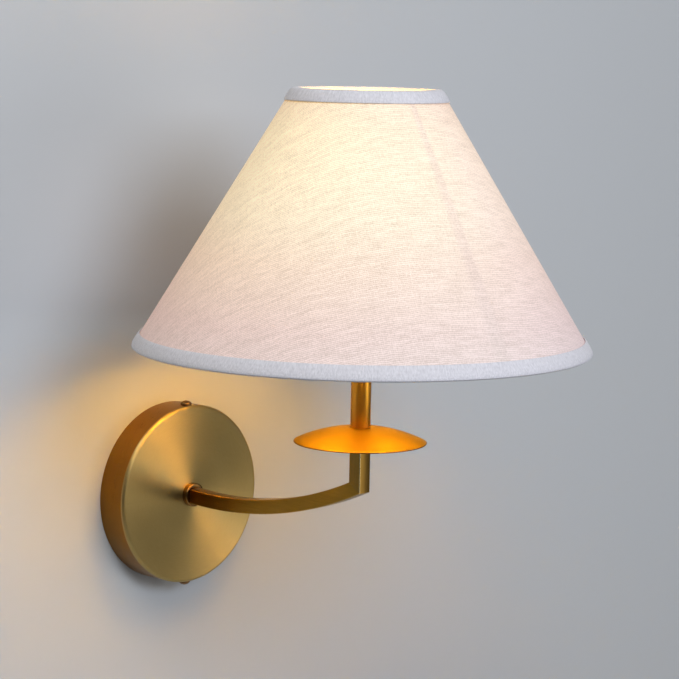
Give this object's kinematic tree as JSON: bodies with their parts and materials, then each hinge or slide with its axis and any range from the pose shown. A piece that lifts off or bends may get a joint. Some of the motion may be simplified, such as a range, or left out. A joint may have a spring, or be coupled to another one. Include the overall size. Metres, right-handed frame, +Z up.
{
  "type": "wall sconce",
  "caption": "Wall sconce: round brass canopy, curved square arm that turns in it, domed drip disc, and an upright lampholder with a bulb under a tapered linen shade.",
  "frame": {"origin": "on the wall, at the centre of the canopy's back and of the crossbar's two wall slots", "axes": "+X along the wall to the right, -Y straight out of the wall, +Z up"},
  "size_m": [0.2865, 0.3213, 0.3384],
  "materials": {
    "brass": "satin brushed along the bar",
    "brass_face": "satin, turned in fine circles on the face",
    "brass_disc": "satin spun",
    "brass_screw": "satin, darkened",
    "contact_brass": "plain rolled",
    "steel": "zinc plated",
    "green_steel": "green passivated",
    "phenolic": "moulded black",
    "porcelain": "glazed white; stands for porcelain",
    "lead_brown": "insulation",
    "lead_blue": "insulation",
    "connector": "moulded cap",
    "opal_glass": "opal",
    "clear_glass": "clear",
    "filament": "phosphor-coated strip",
    "white_wire": "white powder coat",
    "liner": "translucent white sheet",
    "linen": "plain-woven natural linen",
    "tape": "folded cotton tape"
  },
  "bodies": {
    "wall_plate": {"crossbar": "steel", "crossbar_ears": "steel", "canopy": "brass_face", "canopy_screws": "brass_screw", "earth_screw": "green_steel", "earth_washer": "steel", "stiffening_plate": "steel", "stop_pins": "steel"},
    "arm": {"arm_collar": "brass", "spring_washer": "steel", "stop_washer": "steel", "lock_nut": "steel", "arm_tube": "brass", "post_tube": "brass", "stem_stud": "brass_screw", "disc_washer": "steel", "drip_disc": "brass_disc", "stem_tube": "brass", "holder_cap": "phenolic", "holder_nut": "steel", "contact_block": "porcelain", "screw_contact": "contact_brass", "centre_contact": "contact_brass", "terminal_screws": "brass_screw", "holder_skirt": "phenolic", "shade_ring_nut": "phenolic", "live_lead": "lead_brown", "neutral_lead": "lead_blue", "wire_connectors": "connector"},
    "bulb": {"bulb_cap": "contact_brass", "bulb_insulator": "phenolic", "bulb_tip": "steel", "bulb_glass": "opal_glass", "bulb_stem": "clear_glass", "bulb_filaments": "filament"},
    "shade": {"fitter_ring": "white_wire", "shade_spokes": "white_wire", "bottom_wire": "white_wire", "top_wire": "white_wire", "shade_liner": "liner", "shade_cloth": "linen", "bottom_trim": "tape", "top_trim": "tape"}
  },
  "joints": [
    {"name": "arm_swivel", "type": "hinge", "parent": "wall_plate", "child": "arm", "pos_m": [0, -0.023, 0], "axis": [0, -1, 0], "range_deg": [-90, 90]},
    {"name": "bulb_lift", "type": "slide", "parent": "arm", "child": "bulb", "axis": [0, 0, 1], "range_m": [0, 0.026]},
    {"name": "shade_turn", "type": "hinge", "parent": "arm", "child": "shade", "pos_m": [0, -0.178, 0.15], "axis": [0, 0, 1], "continuous": true}
  ]
}
